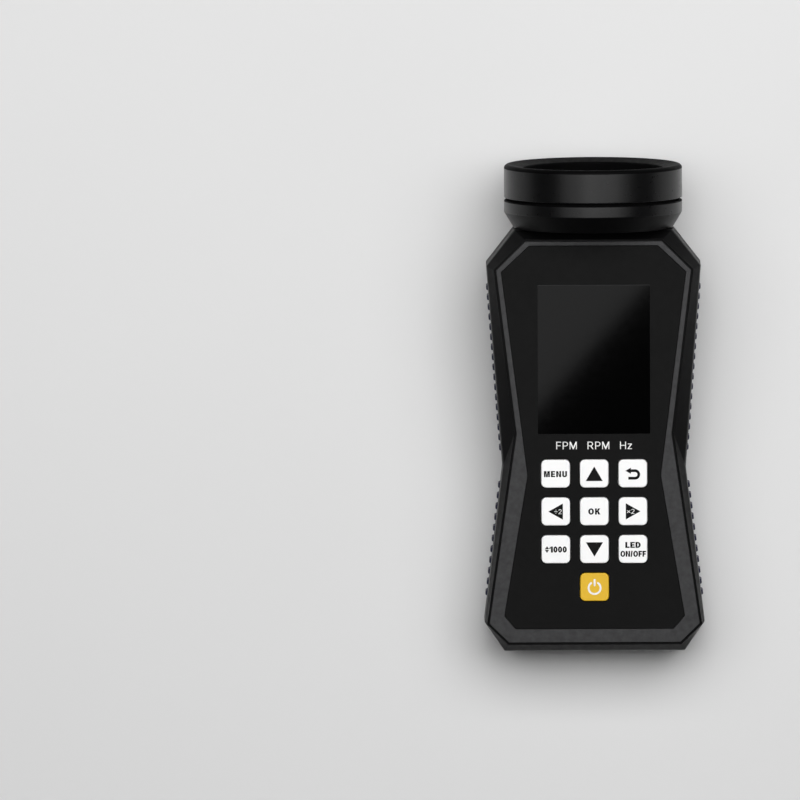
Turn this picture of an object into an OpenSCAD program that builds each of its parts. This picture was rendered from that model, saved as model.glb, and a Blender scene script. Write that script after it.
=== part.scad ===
// Hand-held ultraviolet LED stroboscope.
// Working frame of the modules: X across the body, Y along it from the tail (0)
// to the lamp, Z out of the front face with 0 on the parting plane of the case.
// placed() then lays the instrument on its back as it lies on a table, resting
// on the rear edge of the tail and on the rim of the lamp head.

/* [Body] */
// Length of the case without the lamp head
body_len = 165; // [160:1:170]
// Thickness of the case
body_t = 32; // [31:0.5:34]
// Width across the tail corners
tail_w = 86; // [84:0.5:90]
// Width at the waist
waist_w = 71.6; // [70:0.2:74]
// Width across the shoulders
shoulder_w = 83.8; // [82:0.2:88]
// Width of the top end, where the lamp head sits
top_w = 62; // [58:0.5:66]
// Height of the sloping border of the front cover
bevel_h = 6; // [5:0.25:7]
// Wall of the front cover
front_wall = 2.4; // [2:0.1:2.8]
// Wall of the rear cover
rear_wall = 3.4; // [3:0.1:3.8]

/* [Lamp head] */
// Outside diameter of the lamp head
head_d = 69.5; // [66:0.5:72]
// Length of the screwed lens ring
ring_len = 12.9; // [12:0.05:14]
// Depth to which the end face of the lens ring slopes in towards the opening
ring_dish = 1.4; // [0.8:0.1:2]
// Diameter of the light opening
opening_d = 54.2; // [52:0.2:55.2]
// Number of ultraviolet emitters on the circle round the middle one
led_count = 8; // [6:1:8]
// Radius of the emitter circle
led_circle_r = 18.8; // [18:0.1:19.2]

/* [Front panel] */
// Width of the display opening
display_w = 43.8; // [42:0.2:44]
// Height of the display opening
display_h = 58.2; // [56:0.2:58.4]
// Width of one key cap
key_w = 11.1; // [10:0.1:11.6]
// Height of one key cap
key_h = 10.9; // [10:0.1:11.4]
// Corner radius of a key cap
key_r = 1.9; // [1:0.1:2.5]
// Column pitch of the keys
key_px = 15.05; // [14.6:0.05:15.4]
// Row pitch of the keys
key_py = 14.8; // [14.4:0.05:15]
// Stroke of a key
key_stroke = 0.6; // [0.3:0.1:0.6]

/* [Grips] */
// Pitch of the ribs of the upper grips
upper_rib_pitch = 3.94; // [3.8:0.02:4.4]
// Pitch of the ribs of the lower grips
lower_rib_pitch = 4.24; // [4:0.02:4.6]
// How far the ribs stand out of the side of the case
rib_out = 0.7; // [0.4:0.1:1]

/* [Tripod socket] */
// Radius of the tapped hole, 1/4-20 UNC before threading
tripod_r = 2.55; // [2.5:0.05:2.6]
// Depth of the tapped hole
tripod_depth = 8; // [6:0.5:8.5]

/* [Hidden] */
$fn = 64;
e = 0.01;
half_t = body_t / 2;
seam = 0.3;                       // half the gap that the case gasket fills
rim_z = half_t - bevel_h;         // level of the widest edge of the front cover
face_z = half_t;                  // top of the grey trim
seat_z = half_t - 1.4;            // seat of the trim and of the overlay
over_z = half_t - 0.5;            // top of the overlay
plate_z = seat_z - 2.2;           // underside of the front plate
back_z = -half_t;
back_foot = 3;                    // the back face starts this far from the tail
trim_gap = 0.7;                   // shadow groove round the trim

// ---- outlines, right half from the tail to the top ----
rim_half = [[35.2, 0], [tail_w / 2, 11.5], [waist_w / 2, 72], [shoulder_w / 2, 151], [top_w / 2, body_len]];
trim_half = [[33.4, 3.8], [tail_w / 2 - 2, 11.15], [waist_w / 2 - 5.6, 85.4], [shoulder_w / 2 - 3.9, 149.4], [top_w / 2 - 4.4, body_len - 4.3]];
over_half = [[30.8, 9.0], [tail_w / 2 - 7.8, 14.1], [waist_w / 2 - 9.8, 69.1], [shoulder_w / 2 - 5.8, 148.8], [top_w / 2 - 5.85, body_len - 5.9]];

function both(h) = concat(h, [for (i = [len(h) - 1:-1:0]) [-h[i][0], h[i][1]]]);
function unit(v) = v / norm(v);
function left(v) = [-v[1], v[0]];
// Moves every edge of a counter-clockwise outline inwards by d.
function inset(p, d) = [for (i = [0:len(p) - 1])
    let (n = len(p), a = p[(i + n - 1) % n], b = p[i], c = p[(i + 1) % n],
         n1 = left(unit(b - a)), n2 = left(unit(c - b)))
    b + d * (n1 + n2) / (1 + n1 * n2)];
// The outline that a straight run from outline a to outline b reaches at the fraction k.
function along_run(a, b, k) = [for (i = [0:len(a) - 1]) a[i] + k * (b[i] - a[i])];

rim = both(rim_half);
trim_out = both(trim_half);
over_out = both(over_half);

// A solid through a stack of outlines that have the same number of points.
module loft(rings, zs) {
    n = len(rings[0]);
    m = len(rings);
    pts = [for (j = [0:m - 1], p = rings[j]) [p[0], p[1], zs[j]]];
    sides = [for (j = [0:m - 2], i = [0:n - 1])
        let (a = j * n + i, b = j * n + (i + 1) % n) each [[a, a + n, b + n], [a, b + n, b]]];
    polyhedron(points = pts, convexity = 8, faces = concat(
        [[for (i = [0:n - 1]) i]],
        [[for (i = [n - 1:-1:0]) (m - 1) * n + i]], sides));
}

// A round wire along points in a plane of constant x, given as [y, z].
module wire(x, path, r, sides = 8) {
    m = len(path);
    dirs = [for (i = [0:m - 1]) unit(path[min(i + 1, m - 1)] - path[max(i - 1, 0)])];
    pts = [for (i = [0:m - 1], k = [0:sides - 1])
        let (a = 360 * k / sides, t = dirs[i])
        [x + r * cos(a), path[i][0] - r * sin(a) * t[1], path[i][1] + r * sin(a) * t[0]]];
    polyhedron(points = pts, convexity = 4, faces = concat(
        [[for (k = [0:sides - 1]) k]],
        [[for (k = [sides - 1:-1:0]) (m - 1) * sides + k]],
        [for (i = [0:m - 2], k = [0:sides - 1])
            let (a = i * sides + k, b = i * sides + (k + 1) % sides)
            each [[a, a + sides, b + sides], [a, b + sides, b]]]));
}

module rrect(w, h, r) {
    square([w - 2 * r, h], center = true);
    square([w, h - 2 * r], center = true);
    for (x = [-1, 1], y = [-1, 1]) translate([x * (w / 2 - r), y * (h / 2 - r)]) circle(r, $fn = 32);
}

module slab(w, h, r, z0, z1) { translate([0, 0, z0]) linear_extrude(z1 - z0) rrect(w, h, r); }
module post(x, y, r, z0, z1) { translate([x, y, z0]) cylinder(r = r, h = z1 - z0, $fn = 32); }
// A solid of revolution about the lamp axis; points are [radius, y].
module lamp(p, fn = 96) { rotate([-90, 0, 0]) rotate_extrude($fn = fn) polygon(p); }
// A cylinder along the lamp axis at x, z.
module along(x, z, r1, r2, y0, y1, fn = 32) {
    translate([x, y0, z]) rotate([-90, 0, 0]) cylinder(r1 = r1, r2 = r2, h = y1 - y0, $fn = fn);
}

// ---- positions ----
case_screw_xy = [for (s = [-1, 1]) each [[s * 30, 16], [s * 30, 142]]];
board_screw_xy = [for (s = [-1, 1]) each [[s * 24.4, 33], [s * 24.4, 62.5], [s * 20, 151]]];
key_y0 = 69.9;
display_y = 143.6 - display_h / 2;
usb_z = 3.77;
board_z = 5.4;                    // back of the main board
board_t = 1.6;
tripod_y = 98;
head_r = head_d / 2;
ring_foot = 176.95;               // rear face of the lens ring
ring_gap = 1;                     // shadow gap between the flange and the lens ring
ring_end = ring_foot + ring_len;
lens_y = 179.4;
lens_t = 2.5;
head_screw = [20, -6];
key_flange_z = plate_z - 0.2;     // top of a key's retaining flange
key_top = over_z + 0.7;

// ---- resting attitude ----
bell_foot = 171.3;
tilt = atan((head_r - half_t) / (bell_foot - back_foot));
lift = head_r * cos(tilt) - bell_foot * sin(tilt);
ring_round = 1.55;
y_lo = -rim_z * sin(tilt);
y_hi = (ring_end - ring_round) * cos(tilt) + (head_r - ring_round) * sin(tilt) + ring_round;
module placed() { translate([0, -(y_lo + y_hi) / 2, lift]) rotate([tilt, 0, 0]) children(); }

// ---- case ----
// A prism over the widest outline between z0 and z1, cut by the slope that runs
// from that outline at level za to the outline top at level zb.
module sloped(top, z0, z1, za, zb) intersection() {
    translate([0, 0, z0]) linear_extrude(z1 - z0) polygon(rim);
    loft([along_run(rim, top, (z0 - 1 - za) / (zb - za)), along_run(rim, top, (z1 + 1 - za) / (zb - za))], [z0 - 1, z1 + 1]);
}
module hollow(wall, z0, z1) { translate([0, 0, z0]) linear_extrude(z1 - z0) polygon(inset(rim, wall)); }

module rear_shell() color([0.045, 0.045, 0.047]) placed() difference() {
    union() {
        difference() {
            sloped(inset(rim, back_foot), back_z, -seam, back_z + 5, back_z);
            hollow(rear_wall, back_z + 2.2, 1);
        }
        for (p = case_screw_xy) post(p[0], p[1], 4, back_z + 1, -seam - 0.3);
        post(0, tripod_y, 7.5, back_z + 1, back_z + 10);
        for (s = [-1, 1]) along(s * head_screw[0], head_screw[1], 3.6, 3.6, 155, body_len - 1);
    }
    for (p = case_screw_xy) {
        post(p[0], p[1], 1.6, back_z - 1, 1);
        post(p[0], p[1], 3.1, back_z - 1, back_z + 2.6);
    }
    post(0, tripod_y, 4.6, back_z - 1, back_z + 9.1);
    for (s = [-1, 1]) along(s * head_screw[0], head_screw[1], 1.25, 1.25, 156, body_len + 1);
    along(0, 0, 9.7, 9.7, 150, body_len + 1);
    translate([0, 46, 0]) slab(46, 34, 2, back_z - 1, back_z + 0.4);
    for (s = [-1, 1]) {
        grip_at(s, false) grip_pocket(false);
        grip_at(s, true) grip_pocket(true);
    }
}

module front_shell() color([0.04, 0.04, 0.042]) placed() difference() {
    union() {
        difference() {
            sloped(inset(trim_out, -trim_gap - 0.2), seam, face_z - 0.2, rim_z, face_z - 0.2);
            hollow(front_wall, -1, plate_z);
        }
        for (p = case_screw_xy) post(p[0], p[1], 3.2, seam + 0.2, plate_z + 0.5);
        for (p = board_screw_xy) post(p[0], p[1], 2.2, board_z + board_t, plate_z + 0.5);
    }
    translate([0, 0, seat_z]) linear_extrude(5) polygon(inset(trim_out, -trim_gap));
    translate([0, display_y, 0]) slab(44.6, 59, 0.6, plate_z - 2, seat_z + 1);
    translate([0, display_y, 0]) slab(47.4, 62, 1, seat_z - 1.2, seat_z + 1);
    at_keys() slab(key_w + 0.5, key_h + 0.5, key_r + 0.25, plate_z - 2, seat_z + 1);
    for (p = case_screw_xy) post(p[0], p[1], 1.55, seam - 1, 8.2);
    for (p = board_screw_xy) post(p[0], p[1], 1.05, board_z, plate_z - 0.8);
    along(0, 0, 9.7, 9.7, 150, body_len + 1);
    translate([0, 4, usb_z]) rotate([90, 0, 0]) linear_extrude(6) rrect(9.5, 3.8, 1.8);
    translate([0, 0.7, usb_z]) rotate([90, 0, 0]) linear_extrude(3) rrect(13, 6.6, 2);
}

module case_gasket() color([0.012, 0.012, 0.012]) placed() difference() {
    translate([0, 0, -seam]) linear_extrude(2 * seam) difference() {
        polygon(inset(rim, 0.7));
        polygon(inset(rim, 2.1));
    }
    along(0, 0, 9.9, 9.9, 150, body_len + 1);
}

module trim_frame() color([0.28, 0.28, 0.285]) placed() translate([0, 0, seat_z]) linear_extrude(face_z - seat_z) difference() {
    polygon(trim_out);
    polygon(over_out);
}

module front_overlay() color([0.1, 0.1, 0.1]) placed() difference() {
    translate([0, 0, seat_z]) linear_extrude(over_z - seat_z) polygon(inset(over_out, 0.1));
    translate([0, display_y, 0]) slab(display_w, display_h, 0.4, seat_z - 1, over_z + 1);
    at_keys() slab(key_w + 0.5, key_h + 0.5, key_r + 0.25, seat_z - 1, over_z + 1);
}

module display_window() color([0.02, 0.02, 0.022]) placed() translate([0, display_y, 0]) {
    slab(47.1, 61.7, 0.9, seat_z - 1.2, seat_z);
    slab(display_w - 0.2, display_h - 0.2, 0.3, seat_z - e, over_z - 0.1);
}

// ---- side grips ----
// Start and end of the grips along the side of the case, right-hand side.
function side_pt(y) = y < 72
    ? rim_half[1] + (rim_half[2] - rim_half[1]) * (y - rim_half[1][1]) / (rim_half[2][1] - rim_half[1][1])
    : rim_half[2] + (rim_half[3] - rim_half[2]) * (y - rim_half[2][1]) / (rim_half[3][1] - rim_half[2][1]);
grip_lower_y = [19.2, 66.4];
grip_upper_y = [76.3, 143.6];
grip_z = [-10.6, -1.6];
function grip_y(upper) = upper ? grip_upper_y : grip_lower_y;
function grip_len(upper) = norm(side_pt(grip_y(upper)[1]) - side_pt(grip_y(upper)[0]));
// Moves a strip drawn along +X, with its outside towards -Y, to the side of the case.
module grip_at(s, upper) {
    a = side_pt(grip_y(upper)[0]);
    d = side_pt(grip_y(upper)[1]) - a;
    mirror([s < 0 ? 1 : 0, 0, 0]) translate([a[0], a[1], 0]) rotate([0, 0, atan2(d[1], d[0])]) children();
}
module grip_pocket(upper) {
    l = grip_len(upper);
    translate([-0.1, -3, grip_z[0] - 0.1]) cube([l + 0.2, 4.6, grip_z[1] - grip_z[0] + 0.2]);
}
module grip(s, upper) color([0.11, 0.12, 0.19]) placed() grip_at(s, upper) {
    l = grip_len(upper);
    pitch = upper ? upper_rib_pitch : lower_rib_pitch;
    n = floor((l - 3) / pitch) + 1;
    x0 = (l - (n - 1) * pitch) / 2;
    translate([0, 0, grip_z[0]]) linear_extrude(grip_z[1] - grip_z[0])
        polygon(concat([[l, 1.5], [0, 1.5], [0, 0.3]],
            [for (i = [0:n - 1]) let (c = x0 + i * pitch)
                each [[c - 1.25, 0.3], [c - 0.75, -rib_out], [c + 0.75, -rib_out], [c + 1.25, 0.3]]],
            [[l, 0.3]]));
}
module grip_upper_left() grip(-1, true);
module grip_upper_right() grip(1, true);
module grip_lower_left() grip(-1, false);
module grip_lower_right() grip(1, false);

// ---- display, board and keys ----
module lcd_module() color([0.55, 0.56, 0.58]) placed() translate([0, 112.2, 0]) {
    difference() {
        slab(50, 69.2, 0.8, 8.7, 12.3);
        translate([0, display_y - 112.2, 0]) slab(46, 60.5, 0.5, 11.9, 13);
    }
}
module lcd_spacer() color([0.05, 0.05, 0.05]) placed() translate([0, 112.2, 0]) slab(46, 60, 1, board_z + board_t, 8.7);
module lcd_ribbon() color([0.75, 0.5, 0.15]) placed() translate([-9, 0, 0]) rotate([90, 0, 90]) linear_extrude(18)
    polygon([[146.8, 9.2], [149.1, 9.2], [149.7, 8.6], [149.7, 7.7], [149.4, 7.4], [147.2, 7.4], [147.2, 7.05],
             [149.6, 7.05], [150.05, 7.5], [150.05, 8.8], [149.3, 9.55], [146.8, 9.55]]);
module main_board() color([0.05, 0.22, 0.12]) placed() difference() {
    translate([0, 0, board_z]) linear_extrude(board_t) polygon(both(
        [[26, 3.2], [26, 24], [30, 28], [30, 66], [25.9, 71], [25.9, 156]]));
    for (p = board_screw_xy) post(p[0], p[1], 1.15, board_z - 1, board_z + board_t + 1);
}
module board_parts() color([0.03, 0.03, 0.03]) placed() {
    translate([-5, 109, board_z - 1.4]) cube([10, 10, 1.4]);
    translate([-20, 121, board_z - 6]) cube([12, 12, 6]);
    post(12, 127, 4, board_z - 10, board_z);
    post(21, 127, 4, board_z - 10, board_z);
    translate([-11, 145, board_z + board_t]) cube([22, 2, 0.35]);
}
module at_keys() {
    for (r = [0:2], c = [-1:1]) translate([c * key_px, key_y0 - r * key_py, 0]) children();
    translate([0, key_y0 - 3 * key_py, 0]) children();
}
module key_switches() color([0.15, 0.15, 0.16]) placed() at_keys() {
    translate([-3, -3, board_z + board_t]) cube([6, 6, 2.2]);
    post(0, 0, 1.6, board_z + board_t + 2.2 - e, board_z + board_t + 2.7);
}
module key(c, r, tint) color(tint) placed() translate([c * key_px, key_y0 - r * key_py, 0]) {
    slab(key_w, key_h, key_r, key_flange_z - e, key_top);
    slab(key_w + 2, key_h + 2, key_r, key_flange_z - 1, key_flange_z);
    slab(4, 4, 0.6, board_z + board_t + 2.8 + key_stroke, key_flange_z - 1 + e);
}
white = [0.95, 0.95, 0.95];
module key_menu() key(-1, 0, white);
module key_up() key(0, 0, white);
module key_back() key(1, 0, white);
module key_halve() key(-1, 1, white);
module key_ok() key(0, 1, white);
module key_double() key(1, 1, white);
module key_step() key(-1, 2, white);
module key_down() key(0, 2, white);
module key_lamp() key(1, 2, white);
module key_power() key(0, 3, [0.89, 0.72, 0.21]);

module usb_socket() color([0.7, 0.7, 0.72]) placed() translate([0, 0, usb_z]) rotate([-90, 0, 0]) {
    difference() {
        translate([0, 0, 0.9]) linear_extrude(7.4) rrect(8.94, 3.26, 1.6);
        translate([0, 0, 0]) linear_extrude(7) rrect(8.34, 2.56, 1.27);
    }
    translate([-3.3, -0.35, 2.2]) cube([6.6, 0.7, 5.4]);
}

// ---- power ----
module battery() color([0.62, 0.64, 0.66]) placed() translate([0, 49, 0]) slab(40, 62, 2, back_z + 2.8, back_z + 11.8);
module battery_tape() color([0.08, 0.08, 0.08]) placed() translate([0, 49, 0]) slab(34, 56, 1, back_z + 2.2, back_z + 2.8);
module battery_plug() color([0.9, 0.9, 0.86]) placed() translate([6.5, 86, board_z - 3.8]) cube([7, 5, 3.8]);
module battery_leads() color([0.5, 0.03, 0.03]) placed() for (x = [9, 11])
    wire(x, [[80.05, -9], [81.2, -9], [82.5, -8.2], [83.4, -6], [83.7, -2.5], [83.75, 0.4], [83.95, 2.2], [84.55, 3.2], [85.3, 3.4], [85.9, 3.4]], 0.65);
module lamp_plug() color([0.9, 0.9, 0.86]) placed() translate([-4, 146, board_z - 3.8]) cube([8, 5, 3.8]);
module lamp_leads() color([0.5, 0.03, 0.03]) placed() for (x = [-1.7, 1.7])
    wire(x, [[151.05, 3.4], [152, 3.4], [153.5, 3.3], [156, 2.6], [158.5, 1.4], [161, 0.5], [164, 0], [168, 0], [171.1, 0]], 0.7);

// ---- lamp head ----
module lamp_bell() color([0.035, 0.035, 0.037]) placed() difference() {
    lamp([[7, 158.9], [11.8, 158.9], [11.8, 161.4], [9.5, 161.4], [9.5, body_len + 0.1], [head_r - 3.7, body_len + 0.1],
          [head_r, bell_foot], [head_r, ring_foot - ring_gap], [head_r - 1.4, ring_foot - ring_gap], [head_r - 1.4, ring_foot], [31.5, ring_foot],
          [31.5, 183.5], [29.6, 183.5], [29.6, lens_y], [28, lens_y], [28, 168.2], [7, 168.2]]);
    for (s = [-1, 1]) along(s * head_screw[0], head_screw[1], 1.7, 1.7, body_len - 1, 169);
    at_reflector_screws() along(0, 0, 1.05, 1.05, 166, 169);
}
module lens_ring() color([0.03, 0.03, 0.032]) placed() {
    o = opening_d / 2;
    n = 8;
    lamp(concat([[31.65, ring_foot], [head_r, ring_foot]],
        [for (k = [0:n]) let (a = 90 * k / n)
            [head_r - ring_round * (1 - cos(a)), ring_end - ring_round * (1 - sin(a))]],
        [[o + 0.4, ring_end - ring_dish], [o, ring_end - ring_dish - 0.4], [o, 182.7], [29.3, 182.7], [29.3, 183.7], [31.65, 183.7]]));
}
module lens() color([0.75, 0.8, 0.85, 0.35]) placed() along(0, 0, 29.5, 29.5, lens_y, lens_y + lens_t, 96);
module lens_seal() color([0.02, 0.02, 0.02]) placed()
    lamp([[27.6, lens_y + lens_t], [29.2, lens_y + lens_t], [29.2, 182.7], [27.6, 182.7]]);
module at_emitters() {
    children();
    for (i = [0:led_count - 1]) let (a = 360 * i / led_count)
        translate([led_circle_r * cos(a), 0, led_circle_r * sin(a)]) children();
}
module at_reflector_screws() {
    for (a = [22.5, 157.5, 247.5, 292.5]) translate([24.4 * cos(a), 0, 24.4 * sin(a)]) children();
}
module reflector() color([0.85, 0.86, 0.88]) placed() difference() {
    along(0, 0, 27.7, 27.7, 172.8, 178.8, 96);
    at_emitters() along(0, 0, 3, 6.6, 172.8 - e, 178.8 + e);
    at_reflector_screws() {
        along(0, 0, 2.3, 2.3, 176.8, 180);
        along(0, 0, 1.15, 1.15, 172, 177);
    }
}
module led_board() color([0.9, 0.9, 0.88]) placed() difference() {
    along(0, 0, 27.5, 27.5, 171.2, 172.8, 96);
    at_reflector_screws() along(0, 0, 1.15, 1.15, 171, 173);
}
module uv_leds() color([0.92, 0.9, 0.75]) placed() at_emitters() translate([0, 172.8, 0]) rotate([-90, 0, 0]) {
    translate([-1.75, -1.75, 0]) cube([3.5, 3.5, 0.9]);
    cylinder(r1 = 1.6, r2 = 1, h = 2.1, $fn = 32);
}
module heat_spreader() color([0.8, 0.81, 0.82]) placed() difference() {
    along(0, 0, 27.7, 27.7, 168.2, 171.2, 96);
    along(0, 0, 4.2, 4.2, 168, 172);
    for (s = [-1, 1]) along(s * head_screw[0], head_screw[1], 3.2, 3.2, 168, 172);
    at_reflector_screws() along(0, 0, 1.15, 1.15, 168, 172);
}
module reflector_screws() color([0.75, 0.75, 0.77]) placed() at_reflector_screws() {
    along(0, 0, 1, 1, 166.4, 176.8 + e);
    along(0, 0, 1.9, 1.9, 176.8, 178.3);
}
module head_screws() color([0.75, 0.75, 0.77]) placed() for (s = [-1, 1]) translate([s * head_screw[0], 0, head_screw[1]]) {
    along(0, 0, 1.2, 1.2, 157, 168.2 + e);
    along(0, 0, 2.4, 2.4, 168.2, 169.9);
}

// ---- fasteners ----
module cross_recess(z, r) {
    for (a = [0, 90]) rotate([0, 0, a]) translate([-r, -0.35, z - 1]) cube([2 * r, 0.7, 2]);
}
module case_screws() color([0.2, 0.2, 0.21]) placed() for (p = case_screw_xy) translate([p[0], p[1], 0]) difference() {
    union() {
        post(0, 0, 2.7, back_z + 0.8, back_z + 2.6);
        post(0, 0, 1.45, back_z + 2.6 - e, 7);
    }
    cross_recess(back_z + 0.8, 1.6);
}
module board_screws() color([0.75, 0.75, 0.77]) placed() for (p = board_screw_xy) translate([p[0], p[1], 0]) {
    post(0, 0, 1.9, board_z - 1.4, board_z);
    post(0, 0, 1, board_z - e, plate_z - 1.2);
}
module tripod_insert() color([0.72, 0.56, 0.25]) placed() translate([0, tripod_y, 0]) difference() {
    union() {
        post(0, 0, 4.55, back_z + 0.1, back_z + 9);
    }
    post(0, 0, tripod_r, back_z - 1, back_z + 0.1 + tripod_depth);
}

rear_shell();
front_shell();
case_gasket();
trim_frame();
front_overlay();
display_window();
lcd_module();
lcd_spacer();
lcd_ribbon();
main_board();
board_parts();
key_switches();
key_menu();
key_up();
key_back();
key_halve();
key_ok();
key_double();
key_step();
key_down();
key_lamp();
key_power();
usb_socket();
battery();
battery_tape();
battery_plug();
battery_leads();
lamp_plug();
lamp_leads();
lamp_bell();
lens_ring();
lens();
lens_seal();
reflector();
led_board();
uv_leds();
heat_spreader();
reflector_screws();
head_screws();
case_screws();
board_screws();
tripod_insert();
grip_upper_left();
grip_upper_right();
grip_lower_left();
grip_lower_right();
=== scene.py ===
import math

import bmesh
import bpy
from mathutils import Matrix, Vector


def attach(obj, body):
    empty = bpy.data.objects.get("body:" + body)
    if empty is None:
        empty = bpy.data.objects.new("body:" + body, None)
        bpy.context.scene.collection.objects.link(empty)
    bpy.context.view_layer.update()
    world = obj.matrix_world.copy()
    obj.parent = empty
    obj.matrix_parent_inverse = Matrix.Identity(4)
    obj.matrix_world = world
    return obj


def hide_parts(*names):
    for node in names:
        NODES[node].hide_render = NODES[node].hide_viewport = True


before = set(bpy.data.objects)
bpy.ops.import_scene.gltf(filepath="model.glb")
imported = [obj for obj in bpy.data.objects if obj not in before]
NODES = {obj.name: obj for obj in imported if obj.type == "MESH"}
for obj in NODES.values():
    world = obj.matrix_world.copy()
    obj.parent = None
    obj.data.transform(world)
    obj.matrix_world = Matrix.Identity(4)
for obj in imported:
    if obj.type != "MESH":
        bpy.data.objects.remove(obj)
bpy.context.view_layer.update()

SCENE = bpy.context.scene

# ------------------------------------------------------------------ frame of the instrument
# The pieces are drawn in the body frame, in millimetres: X across, Y from the tail to the
# lamp, Z out of the front with 0 on the parting plane. PLACE lays them down as the CAD does.
HALF_T, HEAD_R, BELL_FOOT, BACK_FOOT, RIM_Z = 16.0, 34.75, 171.3, 3.0, 10.0
RING_FOOT, RING_END, RING_ROUND, RING_DISH, BODY_LEN = 176.95, 189.85, 1.55, 1.4, 165.0
TILT = math.atan((HEAD_R - HALF_T) / (BELL_FOOT - BACK_FOOT))
SN, CS = math.sin(TILT), math.cos(TILT)
LIFT = HEAD_R * CS - BELL_FOOT * SN
Y_LO = -RIM_Z * SN
Y_HI = (RING_END - RING_ROUND) * CS + (HEAD_R - RING_ROUND) * SN + RING_ROUND
PLACE = (Matrix.Translation((0, -(Y_LO + Y_HI) / 2000, LIFT / 1000))
         @ Matrix.Rotation(TILT, 4, "X") @ Matrix.Scale(0.001, 4))

SEAM, SEAT_Z, OVER_Z, PLATE_Z, FACE_Z, BACK_Z = 0.3, 14.6, 15.5, 12.4, 16.0, -16.0
TRIM_GAP = 0.7
DISPLAY = (43.8, 58.2, 143.6 - 58.2 / 2)
KEY_W, KEY_H, KEY_R, KEY_PX, KEY_PY, KEY_Y0, KEY_TOP = 11.1, 10.9, 1.9, 15.05, 14.8, 69.9, 16.2
CASE_SCREWS = [(s * 30, y) for s in (-1, 1) for y in (16, 142)]
BOARD_SCREWS = [(s * x, y) for s in (-1, 1) for x, y in ((24.4, 33), (24.4, 62.5), (20, 151))]
HEAD_SCREW = (20, -6)
TRIPOD_Y, USB_Z = 98, 3.77
EMITTERS = [(0, 0)] + [(18.8 * math.cos(a), 18.8 * math.sin(a)) for a in (2 * math.pi * k / 8 for k in range(8))]
REFLECTOR_SCREWS = [(24.4 * math.cos(math.radians(a)), 24.4 * math.sin(math.radians(a))) for a in (22.5, 157.5, 247.5, 292.5)]


def both(half):
    return half + [(-x, y) for x, y in reversed(half)]


RIM = both([(35.2, 0), (43, 11.5), (35.8, 72), (41.9, 151), (31, 165)])
TRIM = both([(33.4, 3.8), (41.0, 11.15), (30.2, 85.4), (38.0, 149.4), (26.6, 160.7)])
OVER = both([(30.8, 9.0), (35.2, 14.1), (26.0, 69.1), (36.1, 148.8), (25.15, 159.1)])


# ------------------------------------------------------------------ outlines
def inset(pts, d):
    """A counter-clockwise outline with every edge moved inwards by d."""
    out, n = [], len(pts)
    for i in range(n):
        a, b, c = (Vector(pts[k % n]) for k in (i - 1, i, i + 1))
        e1, e2 = (b - a).normalized(), (c - b).normalized()
        n1, n2 = Vector((-e1.y, e1.x)), Vector((-e2.y, e2.x))
        out.append(tuple(b + (n1 + n2) * (d / (1 + n1.dot(n2)))))
    return out


def outline(pts, radii, arc=4, run=8):
    """The outline with arc + 1 points round each corner and its straight runs divided."""
    n = len(pts)
    if not hasattr(radii, "__len__"):
        radii = [radii] * n
    elif len(radii) * 2 == n:
        radii = list(radii) + list(reversed(radii))
    arcs = []
    for i in range(n):
        a, b, c = (Vector(pts[k % n]) for k in (i - 1, i, i + 1))
        d1, d2 = (a - b), (c - b)
        room = 0.45 * min(d1.length, d2.length)
        d1.normalize(), d2.normalize()
        half = math.acos(max(-1, min(1, d1.dot(d2)))) / 2
        t = min(radii[i] / math.tan(half), room)
        r = t * math.tan(half)
        mid = b + (d1 + d2).normalized() * (r / math.sin(half))
        p, q = b + d1 * t - mid, b + d2 * t - mid
        a0 = math.atan2(p.y, p.x)
        da = (math.atan2(q.y, q.x) - a0 + math.pi) % (2 * math.pi) - math.pi
        arcs.append([mid + Vector((math.cos(a0 + da * k / arc), math.sin(a0 + da * k / arc))) * r for k in range(arc + 1)])
    out = []
    for i, one in enumerate(arcs):
        out += [tuple(p) for p in one]
        a, b = one[-1], arcs[(i + 1) % n][0]
        out += [tuple(a.lerp(b, k / run)) for k in range(1, run)]
    return out


def rrect(w, h, r, arc=6, run=1, x=0, y=0):
    pts = [(x - w / 2, y - h / 2), (x + w / 2, y - h / 2), (x + w / 2, y + h / 2), (x - w / 2, y + h / 2)]
    return outline(pts, r, arc, run)


def circle(r, n=48, x=0, y=0):
    return [(x + r * math.cos(2 * math.pi * k / n), y + r * math.sin(2 * math.pi * k / n)) for k in range(n)]


def cross(a, b):
    """A cross recess: arms reach a from the middle and are 2 b wide."""
    quarter = [(a, -b), (a, b), (b, b)]
    return [p for c, n in ((1, 0), (0, 1), (-1, 0), (0, -1)) for p in [(x * c - y * n, x * n + y * c) for x, y in quarter]]


def mix(a, b, k):
    return [(p[0] + (q[0] - p[0]) * k, p[1] + (q[1] - p[1]) * k) for p, q in zip(a, b)]


def bezier(p0, p1, p2, n):
    return [tuple((1 - u) ** 2 * a + 2 * u * (1 - u) * b + u * u * c for a, b, c in zip(p0, p1, p2))
            for u in (k / n for k in range(n + 1))]


# ------------------------------------------------------------------ meshes
def mesh_object(name, verts, faces, place=PLACE):
    me = bpy.data.meshes.new(name)
    me.from_pydata([place @ Vector(v) for v in verts], [], faces)
    bm = bmesh.new()
    bm.from_mesh(me)
    bmesh.ops.remove_doubles(bm, verts=bm.verts, dist=1e-7)
    bmesh.ops.recalc_face_normals(bm, faces=bm.faces)
    bm.to_mesh(me)
    bm.free()
    ob = bpy.data.objects.new(name, me)
    SCENE.collection.objects.link(ob)
    return ob


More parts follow.
